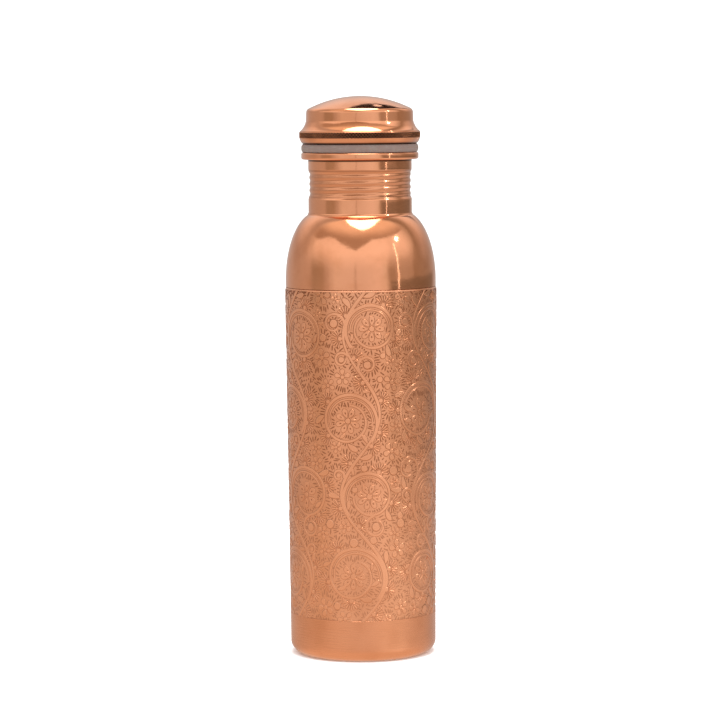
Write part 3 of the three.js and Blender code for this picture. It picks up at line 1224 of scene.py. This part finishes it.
def stroke():
    """One short dark stroke, 1 mm long before it is stretched."""
    depth = settings().etching.depth
    top = np.array([(-0.5, 0), (-0.3, -0.2), (0.2, -0.22), (0.5, 0), (0.2, 0.22), (-0.3, 0.2)]) * MM
    return raised([(top * (1.04, 1.6), -depth * SUNK, 0.3), (top, -depth * 0.85, 0.62)])


def templates():
    """The flat motifs at size 1, as (verts, faces, hollows)."""
    return {
        "blossom": flower(8, drop(4.9 * MM, 1.9 * MM, 14), 1.7 * MM, 1.3 * MM, 0.17),
        "primula": flower(6, drop(4.9 * MM, 2.35 * MM, 16), 1.7 * MM, 1.2 * MM, 0.17),
        "floret": flower(5, drop(2.6 * MM, 1.45 * MM, 10), 1.0 * MM, 0.75 * MM, None),
        "fan": fan(),
        "leaf": island(drop(4.4 * MM, 1.3 * MM, 12, 0.18)),
        "berry": island(circle(MM, 12)),
        "stroke": stroke(),
    }


def wrap(shape):
    """Rolls flat geometry on to the barrel: x round it, y up it, z out of its surface."""
    x, y, z = shape.position()
    angle = x / shape.size("Roll radius")
    edge = (y - settings().body.taper_end).maths("MAXIMUM", 0) * 0.015
    radius = barrel_radius(y) - edge + z
    shape.move(shape.join(radius * angle.maths("SINE"), -(radius * angle.maths("COSINE")), y))


def motif_tree():
    """Puts a motif on every point, turned and sized by the point, and rolls them on to the barrel."""
    shape = Shape("etched_motifs", {"Motif": "Object", "Roll radius": "Float", "Material": "Material"})
    motif = shape.add("GeometryNodeObjectInfo", inputs={"Object": shape.entry.outputs["Motif"]})
    turn_about = shape.join(0.0, 0.0, shape.attribute("turn"))
    size = shape.attribute("size")
    inputs = {"Points": shape.geometry, "Instance": motif.outputs["Geometry"],
              "Rotation": turn_about, "Scale": shape.join(size * shape.attribute("stretch"), size, 1.0)}
    copies = shape.add("GeometryNodeInstanceOnPoints", inputs=inputs).outputs[0]
    shape.geometry = shape.add("GeometryNodeRealizeInstances", inputs={"Geometry": copies}).outputs[0]
    wrap(shape)
    return shape.finish()


def vine_tree():
    """Sweeps a flat ribbon along every path, as wide as the path says, and rolls it on to the barrel."""
    sizes = {"Depth": "Float", "Wall": "Float", "Roll radius": "Float", "Material": "Material"}
    shape = Shape("etched_vines", sizes)
    x, y, _ = shape.position()
    shape.store("spine_x", x)
    shape.store("spine_y", y)
    path = shape.add("GeometryNodeMeshToCurve", inputs={"Mesh": shape.geometry}).outputs[0]
    path = shape.add("GeometryNodeSetCurveNormal", {"mode": "Z_UP"}, {"Curve": path}).outputs[0]
    section = shape.add("GeometryNodeCurvePrimitiveQuadrilateral", {"mode": "RECTANGLE"},
                        {"Width": 2.0, "Height": 1.0}).outputs[0]
    inputs = {"Curve": path, "Profile Curve": section, "Scale": shape.attribute("width"),
              "Fill Caps": True}
    shape.geometry = shape.add("GeometryNodeCurveToMesh", inputs=inputs).outputs[0]
    x, y, z = shape.position()
    foot = z < 0
    spread = 1 + foot * shape.size("Wall") / shape.attribute("width")
    spine_x, spine_y = shape.attribute("spine_x"), shape.attribute("spine_y")
    place = shape.join(spine_x + (x - spine_x) * spread, spine_y + (y - spine_y) * spread,
                       foot * shape.size("Depth") * -SUNK - 0.004 * MM)
    shape.store("hollow", foot)
    shape.move(place)
    wrap(shape)
    return shape.finish()


def with_numbers(obj, **columns):
    """Stores one number for each point of a mesh under each name."""
    for name, numbers in columns.items():
        attribute = obj.data.attributes.new(name, "FLOAT", "POINT")
        attribute.data.foreach_set("value", np.asarray(numbers, dtype=np.float32))


def trim(obj, low, high):
    """Cuts off what reaches past the etched band's borders."""
    cut = bmesh.new()
    cut.from_mesh(obj.data)
    for height, way in ((low, -1), (high, 1)):
        parts = cut.verts[:] + cut.edges[:] + cut.faces[:]
        bmesh.ops.bisect_plane(cut, geom=parts, dist=1e-6, plane_co=(0, 0, height),
                               plane_no=(0, 0, way), clear_outer=True)
    cut.normal_update()
    cut.to_mesh(obj.data)
    cut.free()


def vines(pattern, roll):
    """All ribbons as one piece."""
    verts, edges, widths = [], [], []
    for points, half_widths in pattern.vines:
        edges += [(len(verts) + i, len(verts) + i + 1) for i in range(len(points) - 1)]
        verts += [(x, y, 0) for x, y in points]
        widths += list(half_widths)
    obj = new_object("etched_vines", verts, edges=edges)
    with_numbers(obj, width=widths)
    return bake(obj, vine_tree(), {"Depth": settings().etching.depth, "Wall": WALL, "Roll radius": roll,
                                   "Material": finish_by(etched_copper)})


def motifs(pattern, roll):
    """All motifs of each kind as one piece."""
    tree = motif_tree()
    for kind, (verts, faces, hollows) in templates().items():
        spots = np.array(pattern.motifs[kind])
        motif = new_object(kind + "_template", verts, faces)
        with_numbers(motif, hollow=hollows)
        obj = new_object("etched_" + kind, [(x, y, 0) for x, y in spots[:, :2]])
        with_numbers(obj, turn=spots[:, 2], size=spots[:, 3], stretch=spots[:, 4])
        bake(obj, tree, {"Motif": motif, "Roll radius": roll, "Material": finish_by(etched_copper)})
        bpy.data.objects.remove(motif)
        yield obj


def etching():
    sizes = settings().etching
    pattern = Pattern()
    pattern.fill()
    roll = pattern.around / TAU
    margin = sizes.depth * 0.5
    for piece in [vines(pattern, roll), *motifs(pattern, roll)]:
        trim(piece, sizes.low + margin, pattern.high - margin)
        smooth(piece, 12)
        place(piece, "bottle", "etched_copper")


# ---------------------------------------------------------------- stage


def wheel(tree, share, stops):
    """A colour for every compass direction, from (degrees, colour) stops; 0 is straight at the camera."""
    node = tree.add("ShaderNodeValToRGB", inputs={0: share})
    ramp = node.color_ramp
    ramp.interpolation = "EASE"
    for degrees, tone in stops[1:]:
        ramp.elements.new(degrees / 360 + 0.5).color = (*tone, 1)
    for end in (0, -1):
        ramp.elements[end].color = (*stops[0][1], 1)
    return Value(node.outputs[0])


WALL_STOPS = [
    (-180, (0.62, 0.60, 0.58)),
    (-120, (0.60, 0.57, 0.54)),
    (-86, (0.64, 0.60, 0.56)),
    (-78, (0.47, 0.43, 0.36)),
    (-62, (0.49, 0.44, 0.36)),
    (-53, (0.64, 0.60, 0.56)),
    (-46, (0.80, 0.78, 0.75)),
    (-38, (0.92, 0.92, 0.90)),
    (0, (0.92, 0.91, 0.90)),
    (28, (1.02, 1.02, 1.02)),
    (38, (0.95, 0.95, 0.92)),
    (47, (0.50, 0.45, 0.38)),
    (70, (0.58, 0.55, 0.50)),
    (86, (0.54, 0.50, 0.44)),
    (92, (0.42, 0.37, 0.30)),
    (125, (0.43, 0.40, 0.35)),
    (150, (0.52, 0.50, 0.48)),
]
TABLE_STOPS = [
    (-180, (0.60, 0.56, 0.52)),
    (-130, (0.70, 0.61, 0.53)),
    (-60, (0.88, 0.74, 0.62)),
    (0, (0.83, 0.72, 0.63)),
    (60, (1.14, 1.07, 0.99)),
    (90, (0.92, 0.84, 0.78)),
    (110, (0.82, 0.75, 0.70)),
    (140, (0.64, 0.62, 0.62)),
]
AHEAD = 0.5  # the compass share that lies straight at the camera
SEAM = 0.478  # and the one at which two pale panels meet


def lit_front(tree, room, z, share):
    """The pale front of the room, and the ceiling over it with its lowest point at the seam."""
    aside = (share - AHEAD).maths("ABSOLUTE")
    off = share - SEAM
    left = (off / -0.12).maths("MAXIMUM", 0).maths("MINIMUM", 1)
    right = (off / 0.086).maths("MAXIMUM", 0).maths("MINIMUM", 1)
    panel_top = 0.41 + 0.16 * left + 0.19 * right - 0.1 * (-off).ramp(0.14, 0.22)
    above = z.ramp(panel_top, panel_top + 0.04) * (1 - aside.ramp(0.24, 0.3))
    front = 1 - aside.ramp(0.22, 0.3)
    room = tree.mix(front * z.ramp(0.08, 0.42) * 0.75, room, (1.35, 1.33, 1.30, 1))
    ceiling = tree.mix(z.ramp(0.6, 0.86), (0.54, 0.46, 0.38, 1), (1.2, 1.1, 0.95, 1))
    return tree.mix(above, room, ceiling)


def backdrop(tree, room, way, share):
    """The wall behind the bottle, with the dark gap and the small window that the dome mirrors."""
    x, y, z = way
    paper = tree.mix(z.ramp(0.12, 0.62), (0.56, 0.52, 0.49, 1), (1.1, 1.05, 1.0, 1))
    room = tree.mix(y.ramp(0.25, 0.6) * z.ramp(0.04, 0.2), room, paper)
    behind = (share - AHEAD).maths("ABSOLUTE").ramp(0.40, 0.44)
    lean = x / y.maths("MAXIMUM", 0.1)
    gap_low = 0.69 - 0.66 * lean
    gap = behind * z.ramp(gap_low, gap_low + 0.02) * (1 - z.ramp(0.87, 0.89))
    room = tree.mix(gap, room, (0.02, 0.012, 0.01, 1))
    window = lean.ramp(0.13, 0.14) * (1 - lean.ramp(0.19, 0.2))
    window = window * z.ramp(0.645, 0.65) * (1 - z.ramp(0.69, 0.695))
    return tree.mix(window * (y > 0), room, (2.0, 1.9, 1.8, 1))


def table(tree, room, z, share):
    """The seam between the panels, the pale table with its dark edge, and the ground close by."""
    seam = (1 - (share - SEAM).maths("ABSOLUTE").ramp(0.002, 0.005)) * (1 - z.ramp(0.1, 0.3))
    room = tree.mix(seam * 0.35, room, (0.3, 0.22, 0.16, 1))
    room = tree.mix((-z).ramp(0.05, 0.19), room, wheel(tree, share, TABLE_STOPS))
    edge = z.ramp(-0.125, -0.1) * (1 - z.ramp(-0.03, 0)) * share.ramp(0.62, 0.645)
    edge = edge * (1 - share.ramp(0.88, 0.93)) * 0.85
    room = tree.mix(edge, room, (0.24, 0.22, 0.18, 1))
    return tree.mix((-z).ramp(0.3, 0.7), room, (0.95, 0.80, 0.66, 1))


def studio_world():
    """White light, and the room that polished copper mirrors: uprights over a pale table."""
    world = bpy.data.worlds.new("studio")
    bpy.context.scene.world = world
    world.use_nodes = True
    world.node_tree.nodes.clear()
    tree = Tree(world.node_tree)
    way = tree.split(tree.add("ShaderNodeTexCoord").outputs["Generated"])
    x, y, z = way
    share = x.maths("ARCTAN2", -y) / TAU + AHEAD
    drawn_in = (share - AHEAD) * 0.14 * z.ramp(0.08, 0.45)
    room = wheel(tree, share - drawn_in, WALL_STOPS)
    room = lit_front(tree, room, z, share)
    room = backdrop(tree, room, way, share)
    room = table(tree, room, z, share)
    mirrored = tree.add("ShaderNodeLightPath").outputs["Is Glossy Ray"]
    room = tree.mix(Value(mirrored), (1.6, 1.6, 1.6, 1), room)
    glow = tree.add("ShaderNodeBackground", inputs={"Color": room, "Strength": 1.0})
    tree.add("ShaderNodeOutputWorld", inputs={"Surface": glow.outputs[0]})


def area_light(name, where, size, power, outline, aim=(0, 0, 0.15)):
    """A soft light aimed at a point, which is the bottle's middle unless one is given."""
    data = bpy.data.lights.new(name, "AREA")
    data.shape = outline
    data.size, data.size_y = size
    data.energy = power
    lamp = bpy.data.objects.new(name, data)
    lamp.location = where
    lamp.rotation_euler = (Vector(aim) - Vector(where)).to_track_quat("-Z", "Y").to_euler()
    lamp.visible_camera = False
    bpy.context.scene.collection.objects.link(lamp)


def floor():
    """A pale floor that is seen from above only, and that the copper doesn't mirror."""
    reach = 60
    corners = [(x * reach, y * reach, 0) for x, y in ((-1, -1), (1, -1), (1, 1), (-1, 1))]
    obj = new_object("floor", corners, [(0, 1, 2, 3)])
    material, tree, _ = new_finish("pale_floor")
    paper = tree.add("ShaderNodeBsdfDiffuse", inputs={"Color": (0.86, 0.86, 0.86, 1)})
    clear = tree.add("ShaderNodeBsdfTransparent")
    below = tree.add("ShaderNodeNewGeometry").outputs["Backfacing"]
    surface = tree.add("ShaderNodeMixShader", inputs={0: below, 1: paper.outputs[0], 2: clear.outputs[0]})
    tree.add("ShaderNodeOutputMaterial", inputs={"Surface": surface.outputs[0]})
    obj.data.materials.append(material)
    obj.visible_glossy = False


def camera():
    studio = settings().studio
    data = bpy.data.cameras.new("camera")
    data.lens = studio.lens
    data.sensor_width = 36
    data.clip_start, data.clip_end = 0.05, 200
    obj = bpy.data.objects.new("camera", data)
    obj.location = (studio.aside, -studio.distance, studio.height)
    obj.rotation_euler = (math.pi / 2 - studio.pitch, studio.roll, 0)
    bpy.context.scene.collection.objects.link(obj)
    bpy.context.scene.camera = obj


def stage():
    studio_world()
    area_light("overhead_softbox", (0.06, -0.1, 1.35), (0.74, 1.38), 13.5, "ELLIPSE",
               aim=(0.06, -0.09, 0))
    area_light("upright_strip", (1.3, -0.75, 0.47), (0.024, 1.0), 0.32, "RECTANGLE")
    area_light("side_lamp", (1.12, -0.43, 0.95), (0.09, 0.09), 1.2, "ELLIPSE")
    floor()
    camera()
    bpy.context.scene.view_settings.view_transform = "Standard"


# ---------------------------------------------------------------- operators


class MakeStep(bpy.types.Operator):
    """Shared part of every step"""

    bl_options = {"REGISTER", "UNDO"}

    def execute(self, context):
        for maker in self.makers:
            maker()
        return {"FINISHED"}


class BOTTLE_OT_stage(MakeStep):
    """Make the camera, the lights and the pale floor"""

    bl_idname = "bottle.stage"
    bl_label = "Studio Stage"
    makers = (stage,)


class BOTTLE_OT_body(MakeStep):
    """Turn the barrel, the base and the shoulder"""

    bl_idname = "bottle.body"
    bl_label = "Barrel, Base and Shoulder"
    makers = (barrel, base_disc, shoulder)


class BOTTLE_OT_neck(MakeStep):
    """Turn the neck, roll its thread and add the lip"""

    bl_idname = "bottle.neck"
    bl_label = "Neck and Lip"
    makers = (neck, lip_ring)


class BOTTLE_OT_lid(MakeStep):
    """Make the seal, the knurled grip, the threaded plug and the cap"""

    bl_idname = "bottle.lid"
    bl_label = "Seal and Lid"
    makers = (seal, grip_ring, threaded_plug, cap)


class BOTTLE_OT_etching(MakeStep):
    """Lay out the etched pattern and roll it on to the barrel"""

    bl_idname = "bottle.etching"
    bl_label = "Etched Pattern"
    makers = (etching,)


STEPS = (BOTTLE_OT_stage, BOTTLE_OT_body, BOTTLE_OT_neck, BOTTLE_OT_lid, BOTTLE_OT_etching)


class BOTTLE_PT_panel(bpy.types.Panel):
    """The bottle's sizes, finishes and steps"""

    bl_label = "Copper Bottle"
    bl_space_type = "VIEW_3D"
    bl_region_type = "UI"
    bl_category = "Bottle"

    def draw(self, context):
        for group in ("body", "neck", "lid", "etching", "finish", "studio"):
            box = self.layout.box()
            box.label(text=group.title())
            holder = getattr(context.scene.copper_bottle, group)
            for name in type(holder).__annotations__:
                box.prop(holder, name)
        for step in STEPS:
            self.layout.operator(step.bl_idname)


CLASSES = (BodySizes, NeckSizes, LidSizes, EtchingSizes, Finish, Studio, BottleSettings,
           *STEPS, BOTTLE_PT_panel)


def register():
    for cls in CLASSES:
        bpy.utils.register_class(cls)
    bpy.types.Scene.copper_bottle = PointerProperty(type=BottleSettings)


def unregister():
    del bpy.types.Scene.copper_bottle
    for cls in reversed(CLASSES):
        bpy.utils.unregister_class(cls)


def main():
    register()
    for step in STEPS:
        group, name = step.bl_idname.split(".")
        getattr(getattr(bpy.ops, group), name)()


if __name__ == "__main__":
    main()
